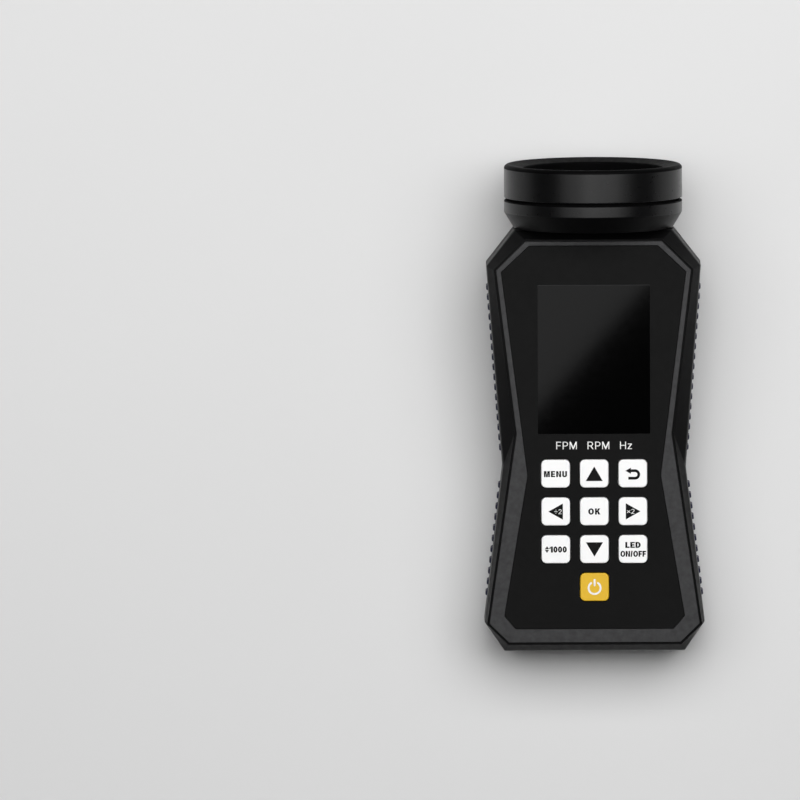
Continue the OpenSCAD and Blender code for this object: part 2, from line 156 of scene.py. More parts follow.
def loft(name, rings, loop=False, place=PLACE):
    """A closed solid through rings of (outline, z); loop joins the last ring to the first."""
    n, m = len(rings[0][0]), len(rings)
    verts = [(p[0], p[1], z) for pts, z in rings for p in pts]
    faces = [(j * n + i, j * n + (i + 1) % n, (j + 1) % m * n + (i + 1) % n, (j + 1) % m * n + i)
             for j in range(m if loop else m - 1) for i in range(n)]
    if not loop:
        faces += [tuple(reversed(range(n))), tuple(range((m - 1) * n, m * n))]
    return mesh_object(name, verts, faces, place)


def prism(name, pts, z0, z1, place=PLACE):
    return loft(name, [(pts, z0), (pts, z1)], place=place)


def lathe(name, profile, n=128, x=0, z=0, closed=True):
    """A solid of revolution about a line along Y at x, z; profile is [radius, y], closed on itself."""
    m, verts, faces, index = len(profile), [], [], []
    for r, y in profile:
        if r < 1e-6:
            index.append([len(verts)] * n)
            verts.append((x, y, z))
        else:
            index.append(list(range(len(verts), len(verts) + n)))
            verts += [(x + r * math.cos(2 * math.pi * k / n), y, z + r * math.sin(2 * math.pi * k / n)) for k in range(n)]
    for j in range(m if closed else m - 1):
        a, b = index[j], index[(j + 1) % m]
        for k in range(n):
            face = []
            for v in (a[k], a[(k + 1) % n], b[(k + 1) % n], b[k]):
                if v not in face:
                    face.append(v)
            if len(face) > 2:
                faces.append(tuple(face))
    return mesh_object(name, verts, faces)


def upright(name, profile, x, y, n=48):
    """A solid of revolution about a line along Z at x, y; profile is [radius, z], closed on itself."""
    m, verts, faces, index = len(profile), [], [], []
    for r, z in profile:
        if r < 1e-6:
            index.append([len(verts)] * n)
            verts.append((x, y, z))
        else:
            index.append(list(range(len(verts), len(verts) + n)))
            verts += [(x + r * math.cos(2 * math.pi * k / n), y + r * math.sin(2 * math.pi * k / n), z) for k in range(n)]
    for j in range(m):
        a, b = index[j], index[(j + 1) % m]
        for k in range(n):
            face = []
            for v in (a[k], a[(k + 1) % n], b[(k + 1) % n], b[k]):
                if v not in face:
                    face.append(v)
            if len(face) > 2:
                faces.append(tuple(face))
    return mesh_object(name, verts, faces)


def cylinder(name, r, z0, z1, x, y, n=40):
    return prism(name, circle(r, n, x, y), z0, z1)


def barrel(name, r, y0, y1, x, z, n=48):
    return lathe(name, [(0, y0), (r, y0), (r, y1), (0, y1)], n, x, z, closed=False)


def merge(name, objects):
    """One object from several whose solids keep apart."""
    bm = bmesh.new()
    for o in objects:
        bm.from_mesh(o.data)
        old = o.data
        bpy.data.objects.remove(o)
        bpy.data.meshes.remove(old)
    me = bpy.data.meshes.new(name)
    bm.to_mesh(me)
    bm.free()
    ob = bpy.data.objects.new(name, me)
    SCENE.collection.objects.link(ob)
    return ob


def tidy(me):
    """Drops the slivers that a cut can leave."""
    bm = bmesh.new()
    bm.from_mesh(me)
    bmesh.ops.remove_doubles(bm, verts=bm.verts, dist=1.5e-6)
    bmesh.ops.dissolve_degenerate(bm, dist=1.5e-6, edges=bm.edges)
    bm.to_mesh(me)
    bm.free()


def carve(ob, *tools, op="DIFFERENCE"):
    """Cuts the tools out of ob, or joins them to it, and removes them."""
    for tool in tools:
        mod = ob.modifiers.new("carve", "BOOLEAN")
        mod.operation, mod.solver, mod.object = op, "EXACT", tool
        graph = bpy.context.evaluated_depsgraph_get()
        graph.update()
        me = bpy.data.meshes.new_from_object(ob.evaluated_get(graph))
        ob.modifiers.clear()
        old, ob.data = ob.data, me
        bpy.data.meshes.remove(old)
        me.name = ob.name
        old = tool.data
        bpy.data.objects.remove(tool)
        bpy.data.meshes.remove(old)
        tidy(me)
    return ob


def dress(ob, material, body="housing", nodes=(), angle=32, weighted=True):
    """Material, smooth shading and its place in the frame for a finished piece."""
    ob.data.materials.clear()
    ob.data.materials.append(material)
    for p in ob.data.polygons:
        p.use_smooth = True
        p.material_index = 0
    ob.data.set_sharp_from_angle(angle=math.radians(angle))
    if weighted:
        mod = ob.modifiers.new("normals", "WEIGHTED_NORMAL")
        mod.keep_sharp, mod.mode, mod.weight = True, "FACE_AREA_WITH_ANGLE", 50
    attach(ob, body)
    if nodes:
        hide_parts(*nodes)
    return ob


def paint(ob, material, test):
    """One more finish for the faces whose middle passes the test: its place in the body's frame and its distance from the lamp axis."""
    ob.data.materials.append(material)
    back = PLACE.inverted()
    for p in ob.data.polygons:
        c = back @ p.center
        if test(c, math.hypot(c.x, c.z)):
            p.material_index = len(ob.data.materials) - 1


# ------------------------------------------------------------------ materials
def surface(name, colour, rough, metal=0.0, spec=0.5, tone=0.12, tone_scale=60.0, rough_by=0.06, rough_scale=420.0,
            grain=0.35, grain_scale=2600.0, grain_depth=0.00002, lines=None, coat=0.0, coat_rough=0.1,
            transmission=0.0, ior=1.5, subsurface=0.0, sheen=0.0, tint=None):
    """A procedural surface: tone varies slowly, roughness a little faster, and a fine grain shapes the normal.
    lines = (scale, depth) adds fine turned rings across the length of the instrument."""
    mat = bpy.data.materials.new(name)
    mat.use_nodes = True
    nt = mat.node_tree
    nodes, links = nt.nodes, nt.links
    bsdf = nodes["Principled BSDF"]
    bsdf.inputs["Metallic"].default_value = metal
    bsdf.inputs["Specular IOR Level"].default_value = spec
    bsdf.inputs["IOR"].default_value = ior
    bsdf.inputs["Coat Weight"].default_value = coat
    bsdf.inputs["Coat Roughness"].default_value = coat_rough
    bsdf.inputs["Transmission Weight"].default_value = transmission
    bsdf.inputs["Sheen Weight"].default_value = sheen
    if subsurface:
        bsdf.inputs["Subsurface Weight"].default_value = subsurface
        bsdf.inputs["Subsurface Radius"].default_value = (0.0012, 0.001, 0.0008)
        bsdf.inputs["Subsurface Scale"].default_value = 1.0
    where = nodes.new("ShaderNodeTexCoord")

    def noise(scale, detail=3.0, rough_n=0.55, source=None):
        t = nodes.new("ShaderNodeTexNoise")
        t.inputs["Scale"].default_value = scale
        t.inputs["Detail"].default_value = detail
        t.inputs["Roughness"].default_value = rough_n
        links.new(source or where.outputs["Object"], t.inputs["Vector"])
        return t.outputs["Fac"]

    ramp = nodes.new("ShaderNodeValToRGB")
    low = [c * (1 - tone) for c in colour]
    high = [min(1.0, c * (1 + tone)) for c in (tint or colour)]
    ramp.color_ramp.elements[0].position, ramp.color_ramp.elements[1].position = 0.3, 0.7
    ramp.color_ramp.elements[0].color = (*low, 1)
    ramp.color_ramp.elements[1].color = (*high, 1)
    links.new(noise(tone_scale), ramp.inputs["Fac"])
    links.new(ramp.outputs["Color"], bsdf.inputs["Base Color"])
    span = nodes.new("ShaderNodeMapRange")
    span.inputs["To Min"].default_value = max(0.0, rough - rough_by)
    span.inputs["To Max"].default_value = min(1.0, rough + rough_by)
    span.inputs["From Min"].default_value, span.inputs["From Max"].default_value = 0.3, 0.7
    links.new(noise(rough_scale, 4.0), span.inputs["Value"])
    links.new(span.outputs["Result"], bsdf.inputs["Roughness"])
    last = None
    if grain > 0:
        b = nodes.new("ShaderNodeBump")
        b.inputs["Strength"].default_value = grain
        b.inputs["Distance"].default_value = grain_depth
        links.new(noise(grain_scale, 2.0, 0.6), b.inputs["Height"])
        last = b.outputs["Normal"]
    if lines:
        turn = nodes.new("ShaderNodeMapping")
        turn.inputs["Rotation"].default_value = (-TILT, 0, 0)
        turn.inputs["Scale"].default_value = (0.02, 1.0, 0.02)
        links.new(where.outputs["Object"], turn.inputs["Vector"])
        b = nodes.new("ShaderNodeBump")
        b.inputs["Strength"].default_value = 0.5
        b.inputs["Distance"].default_value = lines[1]
        links.new(noise(lines[0], 2.0, 0.5, turn.outputs["Vector"]), b.inputs["Height"])
        if last:
            links.new(last, b.inputs["Normal"])
        last = b.outputs["Normal"]
    if last:
        links.new(last, bsdf.inputs["Normal"])
    return mat


CASE = surface("case_plastic", (0.0037, 0.0037, 0.0039), 0.45, spec=0.068, tone=0.16, grain=0.5, grain_scale=2400, grain_depth=0.00003)
# painted highlight: a lighter, glossier copy of the case finish for the rim's rounded edge
CASE_EDGE_HIGHLIGHT = surface("case_edge_highlight", (0.008, 0.008, 0.0083), 0.36, spec=0.3, tone=0.2, tone_scale=150, grain=0.4, grain_scale=2400, grain_depth=0.00002)
HEAD = surface("head_plastic", (0.0026, 0.0026, 0.0028), 0.29, spec=0.26, tone=0.12, rough_by=0.02, grain=0.0, lines=(2800, 0.000003))
# painted shade: a darker, duller copy of the head finish for the cone under the flange
HEAD_CONE_SHADE = surface("head_cone_shade", (0.0018, 0.0018, 0.0019), 0.34, spec=0.08, tone=0.15, rough_by=0.03, grain=0.2, grain_scale=3000, grain_depth=0.000015)
# painted shade: a dark, dull copy of the head finish for rounded edges and the gap groove
HEAD_EDGE_SHADE = surface("head_edge_shade", (0.0014, 0.0014, 0.0015), 0.52, spec=0.03, tone=0.2, grain=0.3, grain_scale=2600, grain_depth=0.00002)
# a matt finish for the ring's end face, its colour a little darker than the head's: painted shade
HEAD_FACE_SHADE = surface("head_face_shade", (0.002, 0.002, 0.0021), 0.58, spec=0.04, tone=0.2, grain=0.5, grain_scale=2200, grain_depth=0.00003)
# painted shade: a dark, matt copy of the head finish for the bore and the gap between ring and flange
BORE_SHADE = surface("bore_shade_matt", (0.0016, 0.0016, 0.0017), 0.8, spec=0.03, tone=0.2, grain=0.6, grain_scale=1800, grain_depth=0.00004)
TRIM_M = surface("trim_satin", (0.0366, 0.0366, 0.0377), 0.5, spec=0.14, tone=0.22, tone_scale=420, grain=0.3, grain_scale=3400, grain_depth=0.000015)
FILM = surface("overlay_film", (0.0042, 0.0042, 0.0042), 0.56, spec=0.07, tone=0.08, grain=0.35, grain_scale=3800, grain_depth=0.00001)
GLASS_DARK = surface("window_smoked", (0.0004, 0.0004, 0.00045), 0.045, spec=0.5, tone=0.15, rough_by=0.005, grain=0.0)
KEY_WHITE = surface("key_white", (0.885, 0.885, 0.882), 0.45, spec=0.25, tone=0.012, grain=0.25, grain_scale=3000, grain_depth=0.000012, subsurface=0.05)
KEY_YELLOW = surface("key_yellow", (0.71, 0.435, 0.02), 0.42, spec=0.3, tone=0.03, grain=0.25, grain_scale=3000, grain_depth=0.000012, subsurface=0.04)
PRINT_BLACK = surface("print_black", (0.0045, 0.0045, 0.0047), 0.55, spec=0.08, tone=0.15, tone_scale=500, grain=0.3, grain_scale=3500, grain_depth=0.000008)
PRINT_WHITE = surface("print_white", (0.80, 0.80, 0.79), 0.5, spec=0.25, tone=0.03, tone_scale=500, grain=0.3, grain_scale=3500, grain_depth=0.000008)
GRIP = surface("grip_rubber", (0.018, 0.0185, 0.042), 0.62, spec=0.22, tone=0.15, tone_scale=200, grain=0.6, grain_scale=3000, grain_depth=0.00003, sheen=0.08)
SEAL = surface("seal_rubber", (0.006, 0.006, 0.006), 0.65, spec=0.25, tone=0.15, grain=0.5)
LENS = surface("lens_clear", (0.93, 0.955, 0.975), 0.02, spec=0.5, tone=0.01, rough_by=0.015, grain=0.0, transmission=1.0, ior=1.49)
MIRROR = surface("reflector_metal", (0.84, 0.85, 0.87), 0.13, metal=1.0, tone=0.03, rough_by=0.04, grain=0.1, grain_scale=1500, grain_depth=0.000006)
LED_BOARD = surface("emitter_board", (0.72, 0.72, 0.69), 0.45, spec=0.4, tone=0.05)
LED_BASE = surface("emitter_base", (0.80, 0.66, 0.34), 0.35, metal=0.6, tone=0.1, tone_scale=800)
LED_DOME = surface("emitter_dome", (0.90, 0.88, 0.72), 0.05, spec=0.5, tone=0.03, rough_by=0.02, grain=0.0, transmission=0.75, ior=1.45)
STEEL = surface("screw_steel", (0.30, 0.30, 0.31), 0.32, metal=1.0, tone=0.12, tone_scale=700, rough_by=0.08, grain=0.2)
STEEL_DARK = surface("screw_blackened", (0.045, 0.045, 0.048), 0.34, metal=0.9, tone=0.2, tone_scale=700, rough_by=0.1, grain=0.25)
BRASS = surface("insert_brass", (0.72, 0.48, 0.17), 0.26, metal=1.0, tone=0.12, tone_scale=600, rough_by=0.08, grain=0.2)
NICKEL = surface("socket_nickel", (0.66, 0.65, 0.63), 0.22, metal=1.0, tone=0.08, tone_scale=900, rough_by=0.06, grain=0.1)
ALUMINIUM = surface("spreader_aluminium", (0.62, 0.63, 0.64), 0.34, metal=1.0, tone=0.06, grain=0.3, lines=(3000, 0.00001))
BOARD = surface("board_mask", (0.008, 0.085, 0.035), 0.3, spec=0.5, tone=0.25, tone_scale=300, grain=0.3, grain_scale=1200)
MOULDED = surface("moulded_black", (0.018, 0.018, 0.018), 0.5, spec=0.4, tone=0.2, tone_scale=300)
POUCH = surface("battery_foil", (0.52, 0.53, 0.55), 0.38, metal=0.85, tone=0.08, grain=0.5, grain_scale=500, grain_depth=0.00006)
FOAM = surface("foam_tape", (0.028, 0.028, 0.029), 0.9, spec=0.15, tone=0.3, tone_scale=900, grain=0.9, grain_scale=1600, grain_depth=0.00015)
PLUG = surface("plug_ivory", (0.74, 0.71, 0.60), 0.42, spec=0.4, tone=0.05)
LEAD = surface("lead_red", (0.36, 0.018, 0.016), 0.4, spec=0.4, tone=0.12, tone_scale=500)
KAPTON = surface("ribbon_film", (0.50, 0.24, 0.035), 0.22, spec=0.5, tone=0.1, tone_scale=700, coat=0.4)
LCD = surface("lcd_frame", (0.30, 0.31, 0.32), 0.3, metal=0.8, tone=0.08, tone_scale=250)

# carried-over CAD nodes: pieces inside the case whose shape is right as it is
for node, material in {
    "case_gasket": SEAL, "lens_seal": SEAL, "lcd_module": LCD, "lcd_spacer": FOAM, "lcd_ribbon": KAPTON,
    "main_board": BOARD, "board_parts": MOULDED, "key_switches": MOULDED, "battery": POUCH, "battery_tape": FOAM,
    "battery_plug": PLUG, "lamp_plug": PLUG, "battery_leads": LEAD, "lamp_leads": LEAD, "led_board": LED_BOARD,
    "heat_spreader": ALUMINIUM, "head_screws": STEEL, "board_screws": STEEL,
}.items():
    NODES[node].data.materials.clear()
    NODES[node].data.materials.append(material)

# ------------------------------------------------------------------ case
RIM_R, TRIM_R = (1.0, 1.3, 4.0, 1.3, 1.0), (0.7, 0.7, 4.0, 0.7, 0.7)


def rim_at(d):
    return outline(inset(RIM, d), RIM_R)


def front_cover():
    edge = rim_at(0)
    top = outline(inset(TRIM, -TRIM_GAP - 0.2), TRIM_R)
    groove = outline(inset(TRIM, -TRIM_GAP), TRIM_R)
    rings = [(rim_at(0.24), SEAM), (rim_at(0.08), SEAM + 0.06), (edge, SEAM + 0.26)]
    zb = FACE_Z - 0.2
    rise = zb - RIM_Z
    rings += [(mix(edge, top, k), z) for k, z in bezier((0, RIM_Z - 0.75), (0, RIM_Z), (0.12, RIM_Z + 0.12 * rise), 5)]
    rings += [(mix(edge, top, k), RIM_Z + k * rise) for k in (0.3, 0.5, 0.7, 0.85, 0.965)]
    rings += [(mix(edge, top, 0.99), zb - 0.035), (mix(top, groove, 0.3), zb), (mix(top, groove, 0.75), zb - 0.03),
              (groove, zb - 0.1), (groove, SEAT_Z)]
    ob = loft("front_cover", rings)
    carve(ob, prism("t", outline(inset(RIM, 2.4), 1.2), -1, PLATE_Z))
    posts = [cylinder("t", 3.2, SEAM + 0.2, PLATE_Z + 0.5, x, y) for x, y in CASE_SCREWS]
    posts += [cylinder("t", 2.2, 7.0, PLATE_Z + 0.5, x, y) for x, y in BOARD_SCREWS]
    carve(ob, merge("t", posts), op="UNION")
    w, h, y = DISPLAY
    holes = [prism("t", rrect(KEY_W + 0.5, KEY_H + 0.5, KEY_R + 0.25, x=kx, y=ky), PLATE_Z - 2, SEAT_Z + 0.3) for kx, ky in KEY_PLACES]
    holes += [cylinder("t", 1.55, -0.7, 8.2, x, y2) for x, y2 in CASE_SCREWS]
    holes += [cylinder("t", 1.05, 5.4, PLATE_Z - 0.8, x, y2) for x, y2 in BOARD_SCREWS]
    holes.append(prism("t", rrect(44.6, 59, 0.6, y=y), PLATE_Z - 2, SEAT_Z + 0.3))
    carve(ob, merge("t", holes), prism("t", rrect(47.4, 62, 1, y=y), SEAT_Z - 1.2, SEAT_Z + 0.5),
          barrel("t", 9.7, 150, BODY_LEN + 1, 0, 0, 96))
    tail = PLACE @ Matrix.Translation((0, 0, USB_Z)) @ Matrix.Rotation(math.pi / 2, 4, "X")
    carve(ob, prism("t", rrect(9.5, 3.8, 1.8), -4, 2, tail),
          loft("t", [(rrect(12.6, 6.2, 1.9), -0.72), (rrect(13.0, 6.6, 2.0), -0.5), (rrect(13.48, 7.08, 2.3), 0.3), (rrect(13.48, 7.08, 2.3), 1)], place=tail))
    dress(ob, CASE, nodes=["front_shell"])
    # painted highlight: the rounded rim edge gets a lighter colour and a glossier finish, so a bright line runs along
    # the case's widest edge
    paint(ob, CASE_EDGE_HIGHLIGHT, lambda c, _: RIM_Z - 0.75 < c.z < RIM_Z + 0.12 * rise and (abs(c.x) > 29 or c.y < 4 or c.y > 160))
    return ob


def rear_cover():
    rings = [(rim_at(i), z) for i, z in bezier((4.0, BACK_Z), (3.0, BACK_Z), (2.48, BACK_Z + 0.86), 5)]
    rings += [(rim_at(i), z) for i, z in bezier((0.62, BACK_Z + 3.97), (0, BACK_Z + 5), (0, BACK_Z + 6.0), 5)]
    rings += [(rim_at(0), -SEAM - 0.26), (rim_at(0.08), -SEAM - 0.06), (rim_at(0.24), -SEAM)]
    ob = loft("rear_cover", rings)
    carve(ob, prism("t", outline(inset(RIM, 3.4), 1.2), BACK_Z + 2.2, 1))
    posts = [cylinder("t", 4, BACK_Z + 1, -SEAM - 0.3, x, y) for x, y in CASE_SCREWS]
    posts += [cylinder("t", 7.5, BACK_Z + 1, BACK_Z + 10, 0, TRIPOD_Y, 64)]
    posts += [barrel("t", 3.6, 155, BODY_LEN - 1, s * HEAD_SCREW[0], HEAD_SCREW[1], 40) for s in (-1, 1)]
    carve(ob, merge("t", posts), op="UNION")
    holes = [cylinder("t", 1.6, BACK_Z - 1, 1, x, y) for x, y in CASE_SCREWS]
    holes += [barrel("t", 1.25, 156, BODY_LEN + 1, s * HEAD_SCREW[0], HEAD_SCREW[1], 32) for s in (-1, 1)]
    holes.append(loft("t", [(circle(5.36, 64, 0, TRIPOD_Y), BACK_Z - 1), (circle(5.36, 64, 0, TRIPOD_Y), BACK_Z - 0.2),
                            (circle(4.6, 64, 0, TRIPOD_Y), BACK_Z + 0.35), (circle(4.6, 64, 0, TRIPOD_Y), BACK_Z + 9.1)]))
    carve(ob, merge("t", holes))
    wells = [loft("t", [(circle(3.83, 48, x, y), BACK_Z - 1), (circle(3.83, 48, x, y), BACK_Z - 0.2), (circle(3.1, 48, x, y), BACK_Z + 0.4),
                        (circle(3.1, 48, x, y), BACK_Z + 2.6)]) for x, y in CASE_SCREWS]
    wells.append(loft("t", [(rrect(47.04, 35.04, 2.52, y=46), BACK_Z - 1), (rrect(47.04, 35.04, 2.52, y=46), BACK_Z - 0.2),
                            (rrect(46, 34, 2, y=46), BACK_Z + 0.25), (rrect(46, 34, 2, y=46), BACK_Z + 0.4)]))
    carve(ob, merge("t", wells), barrel("t", 9.7, 150, BODY_LEN + 1, 0, 0, 96))
    pockets = [prism("t", [(-0.1, -3), (l + 0.1, -3), (l + 0.1, 1.6), (-0.1, 1.6)], GRIP_Z[0] - 0.1, GRIP_Z[1] + 0.1, place)
               for place, l in (grip_place(s, u) for s in (-1, 1) for u in (False, True))]
    carve(ob, merge("t", pockets))
    return dress(ob, CASE, nodes=["rear_shell"])


# ------------------------------------------------------------------ side grips
GRIP_Z, RIB_OUT = (-10.6, -1.6), 0.7


def side_point(y):
    a, b = (RIM[1], RIM[2]) if y < 72 else (RIM[2], RIM[3])
    return Vector(a).lerp(Vector(b), (y - a[1]) / (b[1] - a[1]))


def grip_place(s, upper):
    """Where a strip drawn along +X, with its outside towards -Y, sits on the side of the case."""
    y0, y1 = (76.3, 143.6) if upper else (19.2, 66.4)
    a, b = side_point(y0), side_point(y1)
    d = b - a
    turn = Matrix.Translation((a.x, a.y, 0)) @ Matrix.Rotation(math.atan2(d.y, d.x), 4, "Z")
    if s < 0:
        turn = Matrix.Scale(-1, 4, (1, 0, 0)) @ turn
    return PLACE @ turn, d.length


def grip(name, s, upper):
    place, l = grip_place(s, upper)
    pitch = 3.94 if upper else 4.24
    n = int((l - 3) // pitch) + 1
    x0 = (l - (n - 1) * pitch) / 2

    def section(k):
        """The strip seen along Z; k is how far its edges have been drawn in."""
        pts = [(l - k, 1.5), (k, 1.5), (k, 0.3 + k)]
        for i in range(n):
            c, w, top = x0 + i * pitch, 1.25 - 0.3 * k, -RIB_OUT + k
            pts += bezier((c - w - 0.15, 0.3 + k), (c - w, 0.3 + k), (c - w + 0.1, 0.1 + k), 2)
            pts += bezier((c - w + 0.32, top + 0.28), (c - w + 0.42, top), (c - w + 0.8, top), 4)
            pts += bezier((c + w - 0.8, top), (c + w - 0.42, top), (c + w - 0.32, top + 0.28), 4)
            pts += bezier((c + w - 0.1, 0.1 + k), (c + w, 0.3 + k), (c + w + 0.15, 0.3 + k), 2)
        return pts + [(l - k, 0.3 + k)]

    steps = [(0.32, 0.0), (0.1, 0.1), (0.0, 0.34)]
    rings = [(section(k), GRIP_Z[0] + dz) for k, dz in steps] + [(section(k), GRIP_Z[1] - dz) for k, dz in reversed(steps)]
    return dress(loft(name, rings, place=place), GRIP, nodes=[name], angle=40)


# ------------------------------------------------------------------ front panel
KEYS = [("key_menu", -1, 0), ("key_up", 0, 0), ("key_back", 1, 0), ("key_halve", -1, 1), ("key_ok", 0, 1), ("key_double", 1, 1),
        ("key_step", -1, 2), ("key_down", 0, 2), ("key_lamp", 1, 2), ("key_power", 0, 3)]
KEY_PLACES = [(c * KEY_PX, KEY_Y0 - r * KEY_PY) for _, c, r in KEYS]


def trim_ring():
    def out(d):
        return outline(inset(TRIM, d), (0.6, 0.6, 4, 0.6, 0.6))

    def inn(d):
        return outline(inset(OVER, -d), (0.5, 0.5, 3, 0.5, 0.5))

    rings = [(out(0), SEAT_Z)] + [(out(d), z) for d, z in bezier((0, FACE_Z - 0.3), (0, FACE_Z), (0.3, FACE_Z), 3)]
    rings += [(inn(d), z) for d, z in bezier((0.25, FACE_Z), (0, FACE_Z), (0, FACE_Z - 0.25), 3)] + [(inn(0), SEAT_Z)]
    return dress(loft("trim_ring", rings, loop=True), TRIM_M, nodes=["trim_frame"])


def overlay():
    pts = lambda d: outline(inset(OVER, 0.1 + d), (0.5, 0.5, 3, 0.5, 0.5))
    ob = loft("panel_overlay", [(pts(0), SEAT_Z), (pts(0), OVER_Z - 0.08), (pts(0.08), OVER_Z)])
    w, h, y = DISPLAY
    holes = [loft("t", [(rrect(KEY_W + 0.5, KEY_H + 0.5, KEY_R + 0.25, x=kx, y=ky), SEAT_Z - 1), (rrect(KEY_W + 0.5, KEY_H + 0.5, KEY_R + 0.25, x=kx, y=ky), OVER_Z - 0.12),
                        (rrect(KEY_W + 0.98, KEY_H + 0.98, KEY_R + 0.49, x=kx, y=ky), OVER_Z + 0.12), (rrect(KEY_W + 0.98, KEY_H + 0.98, KEY_R + 0.49, x=kx, y=ky), OVER_Z + 1)])
             for kx, ky in KEY_PLACES]
    holes.append(prism("t", rrect(w, h, 0.4, y=y), SEAT_Z - 1, OVER_Z + 1))
    carve(ob, merge("t", holes))
    return dress(ob, FILM, nodes=["front_overlay"])


def window():
    w, h, y = DISPLAY
    pad = lambda d, r=0.3: rrect(w - 0.2 - 2 * d, h - 0.2 - 2 * d, max(0.05, r - d), 4, 4, y=y)
    foot = lambda d: rrect(47.1 - 2 * d, 61.7 - 2 * d, 0.9 - d, 4, 4, y=y)
    rings = [(foot(0.1), SEAT_Z - 1.2), (foot(0), SEAT_Z - 1.1), (foot(0), SEAT_Z - 0.1), (foot(0.1), SEAT_Z), (pad(0), SEAT_Z)]
    rings += [(pad(0), OVER_Z - 0.13), (pad(0.03), OVER_Z - 0.1)]
    return dress(loft("display_pane", rings), GLASS_DARK, nodes=["display_window"])


def key_cap(node, cx, cy, material):
    foot = PLATE_Z - 0.2
    box = lambda w, h, r: rrect(w, h, r, 6, 3, cx, cy)
    rings = [(box(3.6, 3.6, 0.5), 10.4), (box(4, 4, 0.6), 10.6), (box(4, 4, 0.6), foot - 1), (box(KEY_W + 1.8, KEY_H + 1.8, KEY_R), foot - 1),
             (box(KEY_W + 2, KEY_H + 2, KEY_R), foot - 0.9), (box(KEY_W + 2, KEY_H + 2, KEY_R), foot - 0.1), (box(KEY_W + 1.8, KEY_H + 1.8, KEY_R), foot),
             (box(KEY_W, KEY_H, KEY_R), foot)]
    rings += [(box(KEY_W - 2 * d, KEY_H - 2 * d, KEY_R - d), z) for d, z in bezier((0, KEY_TOP - 0.4), (0, KEY_TOP), (0.4, KEY_TOP), 6)]
    return dress(loft(node + "_cap_piece", rings), material, node + "_cap", [node], angle=50)


# ------------------------------------------------------------------ key legends
INK = 0.03


def legend(name, body, material, shapes, cx, cy, top=KEY_TOP):
    """Flat printed shapes, each a list of points about the key's centre."""
    parts = [prism("t", [(cx + x, cy + y) for x, y in pts], top - 0.01, top + INK) for pts in shapes]
    return dress(merge(name, parts), material, body, angle=40, weighted=False)


def arc_points(cx, cy, rx, ry, a0, a1, n):
    return [(cx + rx * math.cos(math.radians(a0 + (a1 - a0) * k / n)), cy + ry * math.sin(math.radians(a0 + (a1 - a0) * k / n))) for k in range(n + 1)]


